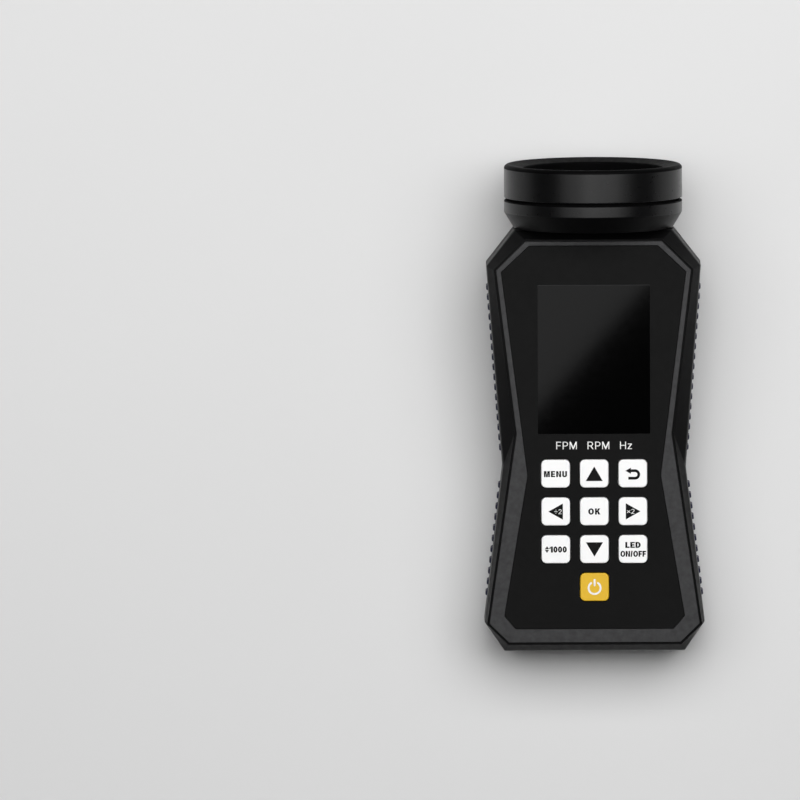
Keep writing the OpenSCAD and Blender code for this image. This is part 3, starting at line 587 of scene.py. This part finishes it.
def glyph(c, w):
    """A plain upright letter or figure, one unit high with strokes w wide: its width and its closed outlines."""
    v, h = 0.9 * w, (1 - 0.9 * w) / 2
    if c == "E":
        return 0.6, [[(0, 0), (0.6, 0), (0.6, v), (w, v), (w, h), (0.55, h), (0.55, h + v), (w, h + v), (w, 1 - v), (0.59, 1 - v), (0.59, 1), (0, 1)]]
    if c == "F":
        return 0.56, [[(0, 0), (w, 0), (w, h - 0.03), (0.5, h - 0.03), (0.5, h + v - 0.03), (w, h + v - 0.03), (w, 1 - v), (0.56, 1 - v), (0.56, 1), (0, 1)]]
    if c == "L":
        return 0.56, [[(0, 0), (0.56, 0), (0.56, v), (w, v), (w, 1), (0, 1)]]
    if c == "H":
        return 0.7, [[(0, 0), (w, 0), (w, h), (0.7 - w, h), (0.7 - w, 0), (0.7, 0), (0.7, 1), (0.7 - w, 1), (0.7 - w, h + v), (w, h + v), (w, 1), (0, 1)]]
    if c == "N":
        return 0.7, [[(0, 0), (w, 0), (w, 0.66), (0.7 - 1.05 * w, 0), (0.7, 0), (0.7, 1), (0.7 - w, 1), (0.7 - w, 0.34), (1.05 * w, 1), (0, 1)]]
    if c == "M":
        return 0.84, [[(0, 0), (0.92 * w, 0), (0.92 * w, 0.7), (0.42 - 0.48 * w, 0), (0.42 + 0.48 * w, 0), (0.84 - 0.92 * w, 0.7), (0.84 - 0.92 * w, 0), (0.84, 0),
                       (0.84, 1), (0.84 - 1.4 * w, 1), (0.42, 0.3), (1.4 * w, 1), (0, 1)]]
    if c == "U":
        return 0.68, [[(0, 1)] + arc_points(0.34, 0.32, 0.34, 0.34, 180, 360, 16) + [(0.68, 1), (0.68 - w, 1)] + arc_points(0.34, 0.32, 0.34 - w, 0.34 - v, 0, -180, 16) + [(w, 1)]]
    if c == "O":
        return 0.78, [arc_points(0.39, 0.5, 0.39, 0.52, 0, 352, 43), arc_points(0.39, 0.5, 0.39 - w, 0.52 - v, 0, 352, 43)]
    if c == "0":
        return 0.57, [arc_points(0.285, 0.5, 0.285, 0.51, 0, 350, 35), arc_points(0.285, 0.5, 0.285 - 0.88 * w, 0.51 - v, 0, 350, 35)]
    if c == "D":
        return 0.68, [[(0, 0)] + arc_points(0.28, 0.5, 0.4, 0.5, -90, 90, 20) + [(0, 1)], [(w, v)] + arc_points(0.28, 0.5, 0.4 - w, 0.5 - v, -90, 90, 20) + [(w, 1 - v)]]
    if c == "P":
        return 0.62, [[(0, 0), (w, 0), (w, 0.38)] + arc_points(0.33, 0.69, 0.29, 0.31, -90, 90, 16) + [(0, 1)],
                      [(w, 0.38 + v)] + arc_points(0.33, 0.69, 0.29 - w, 0.31 - v, -90, 90, 16) + [(w, 1 - v)]]
    if c == "R":
        return 0.7, [[(0, 0), (w, 0), (w, 0.4), (0.31, 0.4), (0.7 - 1.25 * w, 0), (0.7, 0), (0.47, 0.42)] + arc_points(0.35, 0.7, 0.29, 0.3, -62, 90, 14) + [(0, 1)],
                     [(w, 0.4 + v)] + arc_points(0.35, 0.7, 0.29 - w, 0.3 - v, -90, 90, 16) + [(w, 1 - v)]]
    if c == "K":
        return 0.74, [[(0, 0), (w, 0), (w, 0.3), (0.3, 0.43), (0.74 - 1.25 * w, 0), (0.74, 0), (0.3 + 0.72 * w, 0.57), (0.71, 1), (0.71 - 1.25 * w, 1), (w, 0.55), (w, 1), (0, 1)]]
    if c == "z":
        return 0.5, [[(0, 0), (0.5, 0), (0.5, v), (1.45 * w, v), (0.49, 0.73 - v), (0.49, 0.73), (0.02, 0.73), (0.02, 0.73 - v), (0.49 - 1.4 * w, 0.73 - v), (0, v)]]
    if c == "1":
        return 0.22 + w, [[(0.22, 0), (0.22 + w, 0), (0.22 + w, 1), (0.24 + 0.1 * w, 1), (0.14, 0.87), (0, 0.79), (0, 0.79 - v), (0.12, 0.79 - 0.62 * v), (0.22, 0.72)]]
    if c == "2":
        left, right = stroke(arc_points(0.28, 0.71, 0.28 - w / 2, 0.29 - w / 2, 168, -30, 16) + [(0.36, 0.42), (0.2, 0.24), (0.56 * w, v)], w)
        return 0.56, [right[:-1] + [(0, v), (0, 0), (0.56, 0), (0.56, v), (1.5 * w, v)] + list(reversed(left[:-1]))]
    if c == "/":
        return 0.34, [[(0, -0.02), (0.85 * w, -0.02), (0.34, 1.02), (0.34 - 0.85 * w, 1.02)]]
    if c == "\u00f7":
        return 0.6, [[(0, 0.5 - v / 2), (0.6, 0.5 - v / 2), (0.6, 0.5 + v / 2), (0, 0.5 + v / 2)],
                     arc_points(0.3, 0.82, 0.62 * w, 0.62 * w, 0, 345, 23), arc_points(0.3, 0.18, 0.62 * w, 0.62 * w, 0, 345, 23)]
    if c == "\u00d7":
        q, r = 0.46 * w, 0.36
        cross = [(q, q), (q, r), (-q, r), (-q, q), (-r, q), (-r, -q), (-q, -q), (-q, -r), (q, -r), (q, -q), (r, -q), (r, q)]
        return 0.58, [[(0.29 + (x - y) * 0.74, 0.47 + (x + y) * 0.74) for x, y in cross]]
    return 0.34, []


def lettering(name, body, material, string, width, height, cx, cy, top=KEY_TOP, weight=0.2, lift=0.0, gap=0.15):
    """A line of plain lettering fitted to width and height, as a thin closed print."""
    curve = bpy.data.curves.new(name, "CURVE")
    curve.dimensions, curve.fill_mode, curve.extrude = "2D", "BOTH", 0.5
    x = 0.0
    for c in string:
        wide, loops = glyph(c, weight)
        for pts in loops:
            spline = curve.splines.new("POLY")
            spline.points.add(len(pts) - 1)
            for p, (px, py) in zip(spline.points, pts):
                p.co = (x + px, py, 0, 1)
            spline.use_cyclic_u = True
        x += wide + gap
    tmp = bpy.data.objects.new(name, curve)
    SCENE.collection.objects.link(tmp)
    graph = bpy.context.evaluated_depsgraph_get()
    graph.update()
    me = bpy.data.meshes.new_from_object(tmp.evaluated_get(graph))
    bpy.data.objects.remove(tmp)
    bpy.data.curves.remove(curve)
    sx, sy = width / (x - gap), height
    z0, z1 = top - 0.01 + lift, top + INK + lift
    verts = [((v.co.x - (x - gap) / 2) * sx + cx, (v.co.y - 0.5) * sy + cy, z0 + (v.co.z + 0.5) * (z1 - z0)) for v in me.vertices]
    faces = [tuple(p.vertices) for p in me.polygons]
    bpy.data.meshes.remove(me)
    return dress(mesh_object(name, verts, faces), material, body, angle=40, weighted=False)


def stroke(path, width):
    """The outline of a line of that width along the points of path."""
    left, right = [], []
    for i, p in enumerate(path):
        a, b = Vector(path[max(i - 1, 0)]), Vector(path[min(i + 1, len(path) - 1)])
        d = (b - a).normalized() * (width / 2)
        left.append((p[0] - d.y, p[1] + d.x))
        right.append((p[0] + d.y, p[1] - d.x))
    return left, right


def legends():
    at = {k: (c * KEY_PX, KEY_Y0 - r * KEY_PY) for k, c, r in KEYS}
    body = {k: k + "_cap" for k, _, _ in KEYS}
    letters = lambda k, tag, text, w, h, dx=0, dy=0, ink=PRINT_BLACK, **kw: lettering(
        f"legend_{k}_{tag}", body[k], ink, text, w, h, at[k][0] + dx, at[k][1] + dy, **kw)
    shapes = lambda k, tag, pts, ink=PRINT_BLACK: legend(f"legend_{k}_{tag}", body[k], ink, pts, *at[k])
    letters("key_menu", "word", "MENU", 9.0, 2.36, -0.05, -0.1, weight=0.25)
    letters("key_ok", "word", "OK", 4.72, 2.36, weight=0.25)
    letters("key_lamp", "upper", "LED", 5.97, 2.3, -0.02, 1.65, weight=0.25, gap=0.1)
    letters("key_lamp", "lower", "ON/OFF", 9.98, 2.26, 0.05, -1.83, weight=0.25, gap=0.08)
    letters("key_step", "number", "1000", 6.8, 2.34, 0.85, -0.03, weight=0.27, gap=0.06)
    shapes("key_up", "mark", [[(-3.32, -2.89), (3.32, -2.89), (0, 2.82)]])
    shapes("key_down", "mark", [[(-3.34, 2.73), (0, -2.88), (3.34, 2.73)]])
    shapes("key_halve", "mark", [[(2.79, -3.17), (2.79, 3.17), (-2.88, 0)]])
    shapes("key_double", "mark", [[(-2.79, 3.17), (-2.79, -3.17), (2.92, 0)]])
    letters("key_halve", "number", "\u00f72", 2.9, 1.85, 0.85, -0.02, PRINT_WHITE, lift=INK, weight=0.105)
    letters("key_double", "number", "\u00d72", 2.9, 1.85, -0.85, -0.02, PRINT_WHITE, lift=INK, weight=0.105)
    shapes("key_step", "mark", [[(-4.24, 0.12), (-2.66, 0.12), (-3.45, 1.27)], [(-4.24, -0.18), (-3.45, -1.33), (-2.66, -0.18)]])
    path = [(-0.73, 1.1), (0.2, 1.1)]
    path += [(0.87 + 1.46 * math.cos(a), -0.36 + 1.46 * math.sin(a)) for a in (math.radians(90 - 180 * k / 20) for k in range(21))]
    path += [(0.2, -1.82), (-1.75, -1.82)]
    left, right = stroke(path, 1.08)
    shapes("key_back", "mark", [[(-2.92, 1.1), (-0.73, -0.08)] + right + list(reversed(left)) + [(-0.73, 2.28)]])
    ring = [(2.34 * math.cos(a), -0.36 + 2.34 * math.sin(a)) for a in (math.radians(90 + 27 + (360 - 54) * k / 48) for k in range(49))]
    left, right = stroke(ring, 0.74)
    shapes("key_power", "ring", [left + list(reversed(right))], PRINT_WHITE)
    shapes("key_power", "bar", [rrect(0.74, 2.82, 0.28, x=0, y=1.74)], PRINT_WHITE)
    # the quantities the instrument measures, in place of a title
    lettering("panel_units", "housing", PRINT_WHITE, "FPM  RPM  Hz", 29.5, 2.95, 0, 80.9, OVER_Z, weight=0.105, gap=0.19)


# ------------------------------------------------------------------ lamp head
def head():
    r, foot, top, end = HEAD_R - 0.012, RING_FOOT, RING_FOOT - 1.0, RING_END - 0.012
    bell = [(7, 158.9), (11.6, 158.9), (11.8, 159.1), (11.8, 161.2), (11.6, 161.4), (9.5, 161.4), (9.5, BODY_LEN + 0.1), (r - 3.95, BODY_LEN + 0.1)]
    bell += bezier((r - 3.8, BODY_LEN + 0.1), (r - 3.7, BODY_LEN + 0.1), (r - 3.6, BODY_LEN + 0.27), 3)
    bell += [(r - 2.3, 167.45)]
    bell += bezier((r - 0.15, BELL_FOOT - 0.25), (r, BELL_FOOT), (r, BELL_FOOT + 0.3), 6)
    bell += [(r, 173.6)]
    bell += bezier((r, top - 0.5), (r, top), (r - 0.5, top), 6)
    bell += [(r - 1.4, top), (r - 1.4, foot), (31.5, foot), (31.5, 183.4), (31.4, 183.5), (29.7, 183.5), (29.6, 183.4), (29.6, 179.4), (28, 179.4), (28, 168.2), (7, 168.2)]
    ob = lathe("lamp_bell_piece", bell, 192)
    holes = [barrel("t", 1.7, BODY_LEN - 1, 169, s * HEAD_SCREW[0], HEAD_SCREW[1], 32) for s in (-1, 1)]
    holes += [barrel("t", 1.05, 166, 169, x, z, 24) for x, z in REFLECTOR_SCREWS]
    carve(ob, merge("t", holes))
    dress(ob, HEAD, nodes=["lamp_bell"], angle=38)
    # painted shade on the cone below the flange
    paint(ob, HEAD_CONE_SHADE, lambda c, d: c.y < BELL_FOOT - 0.1 and d > 12)
    # painted shade on the flange's rounded top edge and the groove above it
    paint(ob, HEAD_EDGE_SHADE, lambda c, d: c.y > top - 0.5 and d > 30)

    o = 27.1
    ring = [(31.65, foot)] + bezier((r - 0.3, foot), (r, foot), (r, foot + 0.3), 5) + [(r, 179.5), (r, 182.5), (r, 185.5)]
    ring += [(r - RING_ROUND * (1 - math.cos(a)), end - RING_ROUND * (1 - math.sin(a))) for a in (math.radians(90 * k / 12) for k in range(13))]
    # the end face slopes in to the opening
    brow, lip = r - RING_ROUND, end - RING_DISH
    ring += bezier((brow - 0.1, end - 0.002), (brow - 0.5, end - 0.05), (brow - 0.9, end - 0.15), 4)
    ring += [(brow - 3, end - 0.68)] + bezier((o + 0.9, lip + 0.08), (o + 0.15, lip - 0.1), (o, lip - 0.9), 8)
    ring += [(o, 185.5), (o, 182.7), (29.3, 182.7), (29.3, 183.7), (31.65, 183.7)]
    ob = dress(lathe("lens_ring_piece", ring, 192), HEAD, nodes=["lens_ring"], angle=38)
    # painted shade on the ring's rounded front edge and its end face
    paint(ob, HEAD_EDGE_SHADE, lambda c, d: c.y > end - RING_ROUND)
    # the end face is matt and painted a little darker than the ring: painted shade
    paint(ob, HEAD_FACE_SHADE, lambda c, d: d < brow - 0.3)
    # painted shade in the bore of the opening
    paint(ob, BORE_SHADE, lambda c, d: d < o + 0.35)
    # painted shade: a dark, matt band laid on the groove floor in the gap between ring and flange
    band = [(r - 1.42, top + 0.03), (r - 1.3, top + 0.06), (r - 1.3, foot - 0.06), (r - 1.42, foot - 0.03)]
    dress(lathe("gap_shade_band", band, 192), BORE_SHADE, angle=38)

    glass = [(0, 179.4), (15, 179.4), (29.3, 179.4), (29.5, 179.6), (29.5, 181.7), (29.3, 181.9), (15, 181.9), (0, 181.9)]
    dress(lathe("lens_disc", glass, 128, closed=False), LENS, nodes=["lens"])

    cup = [(0, 172.7), (2.9, 172.7)] + [(2.9 + 3.7 * k / 14, 172.7 + 6.0 * (k / 14) ** 2) for k in range(1, 15)] + [(7.1, 178.92), (7.1, 180), (0, 180)]
    disc = [(0, 172.8), (27.7, 172.8), (27.7, 178.6), (27.5, 178.8), (0, 178.8)]
    ob = lathe("reflector_piece", disc, 128, closed=False)
    carve(ob, merge("t", [lathe("t", cup, 64, x, z, closed=False) for x, z in EMITTERS]))
    carve(ob, merge("t", [barrel("t", 2.3, 176.8, 180, x, z, 32) for x, z in REFLECTOR_SCREWS]))
    carve(ob, merge("t", [barrel("t", 1.15, 172, 177, x, z, 24) for x, z in REFLECTOR_SCREWS]))
    dress(ob, MIRROR, nodes=["reflector"], angle=16)

    bases, domes = [], []
    for x, z in EMITTERS:
        flat = PLACE @ Matrix.Translation((x, 172.8, z)) @ Matrix.Rotation(-math.pi / 2, 4, "X")
        bases.append(loft("t", [(rrect(3.5, 3.5, 0.3), 0), (rrect(3.5, 3.5, 0.3), 0.75), (rrect(3.2, 3.2, 0.3), 0.9)], place=flat))
        domes.append(lathe("t", [(0, 173.72), (1.45, 173.72)] + [(1.45 * math.cos(b), 173.72 + 1.15 * math.sin(b)) for b in (math.radians(90 * k / 8) for k in range(1, 8))]
                           + [(0, 174.87)], 32, x, z, closed=False))
    dress(merge("emitter_bases", bases), LED_BASE, nodes=["uv_leds"])
    dress(merge("emitter_domes", domes), LED_DOME)

    screws = []
    for x, z in REFLECTOR_SCREWS:
        screws.append(lathe("t", [(0, 166.4), (0.8, 166.4), (1.0, 166.7), (1.0, 176.81), (1.9, 176.81), (1.9, 177.7), (1.6, 178.15), (1.0, 178.3), (0, 178.3)], 32, x, z, closed=False))
        flat = PLACE @ Matrix.Translation((x, 178.3, z)) @ Matrix.Rotation(-math.pi / 2, 4, "X")
        carve(screws[-1], prism("t", cross(1.07, 0.24), -0.8, 0.5, flat))
    dress(merge("reflector_screw_set", screws), STEEL, nodes=["reflector_screws"])


# ------------------------------------------------------------------ back, tail
def back_and_tail():
    screws = []
    for x, y in CASE_SCREWS:
        z = BACK_Z + 0.8
        one = upright("t", [(0, 7), (1.0, 7), (1.45, 6.4), (1.45, z + 1.8), (2.7, z + 1.8), (2.7, z + 0.55), (2.45, z + 0.2), (1.9, z), (0, z)], x, y)
        carve(one, prism("t", [(x + u, y + v) for u, v in cross(1.53, 0.37)], z - 1, z + 1.1))
        screws.append(one)
    dress(merge("case_screw_set", screws), STEEL_DARK, nodes=["case_screws"])

    z0 = BACK_Z + 0.1
    thread = [(4.35, z0), (4.55, z0 + 0.2)]
    for k in range(14):
        y = z0 + 0.8 + k * 0.58
        thread += [(4.55 if k % 2 else 4.4, y)]
    thread += [(4.55, BACK_Z + 9), (0, BACK_Z + 9), (0, z0 + 8.0), (2.55, z0 + 8.0)]
    for k in range(6):
        y = z0 + 7.4 - k * 1.27
        thread += [(2.55, y), (3.12, y - 0.55), (3.12, y - 0.67), (2.55, y - 1.22)]
    thread += [(2.9, z0)]
    dress(upright("tripod_bush", thread, 0, TRIPOD_Y, 64), BRASS, nodes=["tripod_insert"], angle=25)

    tail = PLACE @ Matrix.Translation((0, 0, USB_Z)) @ Matrix.Rotation(math.pi / 2, 4, "X")
    out = lambda d: rrect(8.94 - 2 * d, 3.26 - 2 * d, 1.6 - d, 10, 2)
    rings = [(out(0), -8.3), (out(0), -1.0), (out(0.1), -0.9), (out(0.25), -0.9), (out(0.33), -1.0), (out(0.33), -7.0)]
    shell = loft("socket_shell", rings, place=tail)
    dress(shell, NICKEL, nodes=["usb_socket"], angle=30)
    tongue = loft("socket_tongue", [(rrect(6.6, 0.7, 0.1), -6.95), (rrect(6.6, 0.7, 0.1), -2.35), (rrect(6.3, 0.5, 0.1), -2.2)], place=tail)
    dress(tongue, MOULDED)


front_cover()
rear_cover()
for one, side, up in (("grip_upper_left", -1, True), ("grip_upper_right", 1, True), ("grip_lower_left", -1, False), ("grip_lower_right", 1, False)):
    grip(one, side, up)
trim_ring()
overlay()
window()
for key, col, row in KEYS:
    yellow = key == "key_power"
    key_cap(key, col * KEY_PX, KEY_Y0 - row * KEY_PY, KEY_YELLOW if yellow else KEY_WHITE)
legends()
head()
back_and_tail()

# ------------------------------------------------------------------ stage, light and camera
floor_mat = surface("floor_paper", (0.66, 0.66, 0.66), 0.8, spec=0.15, tone=0.012, tone_scale=3, grain=0.2, grain_scale=300, grain_depth=0.00005)
me = bpy.data.meshes.new("floor")
me.from_pydata([(-4, -4, 0), (4, -4, 0), (4, 4, 0), (-4, 4, 0)], [], [(0, 1, 2, 3)])
floor = bpy.data.objects.new("floor", me)
me.materials.append(floor_mat)
SCENE.collection.objects.link(floor)

# a room that is pale round the horizon and dark overhead, where the softboxes hang
world = bpy.data.worlds.new("studio")
world.use_nodes = True
wn, wl = world.node_tree.nodes, world.node_tree.links
where, split, fade = wn.new("ShaderNodeTexCoord"), wn.new("ShaderNodeSeparateXYZ"), wn.new("ShaderNodeMapRange")
wl.new(where.outputs["Generated"], split.inputs["Vector"])
wl.new(split.outputs["Z"], fade.inputs["Value"])
fade.interpolation_type = "SMOOTHSTEP"
fade.inputs["From Min"].default_value, fade.inputs["From Max"].default_value = 0.0, 0.17
fade.inputs["To Min"].default_value, fade.inputs["To Max"].default_value = 0.42, 0.012
wl.new(fade.outputs["Result"], wn["Background"].inputs["Strength"])
wn["Background"].inputs["Color"].default_value = (1, 1, 1, 1)
SCENE.world = world


def softbox(name, at, size, radiance, turn=(0, 0, 0)):
    light = bpy.data.lights.new(name, "AREA")
    light.shape, light.size, light.size_y = "RECTANGLE", *size
    light.energy = radiance * math.pi * size[0] * size[1]
    ob = bpy.data.objects.new(name, light)
    ob.location, ob.rotation_euler = at, turn
    ob.visible_camera = False
    SCENE.collection.objects.link(ob)
    return ob


softbox("overhead", (0.1, 0.55, 1.5), (3.0, 1.5), 1.85)
softbox("overhead_core", (0.32, 0.55, 1.46), (1.3, 1.4), 2.65)
softbox("display_card", (-0.375, 0.1138, 1.2), (1.0, 1.0), 0.52, (0, 0, math.radians(-40.8)))

cam_data = bpy.data.cameras.new("camera")
camera = bpy.data.objects.new("camera", cam_data)
SCENE.collection.objects.link(camera)
MM_PER_PX, REACH, LEVEL, PITCH, ROLL = 0.39, 12.0, 0.036, 1.35, -0.22
cam_data.sensor_width = 36.0
cam_data.lens = 36.0 * REACH / (800 * MM_PER_PX / 1000)
cam_data.clip_end = 80
turn = Matrix.Rotation(math.radians(ROLL), 4, "Z") @ Matrix.Rotation(math.radians(PITCH), 4, "X")
aim = Vector(((400 - 593.85) * MM_PER_PX / 1000, (402.95 - 400) * MM_PER_PX / 1000, LEVEL))
camera.location = aim + turn @ Vector((0, 0, REACH))
camera.rotation_euler = turn.to_euler()
SCENE.camera = camera
SCENE.view_settings.view_transform = "Standard"
SCENE.view_settings.look = "None"
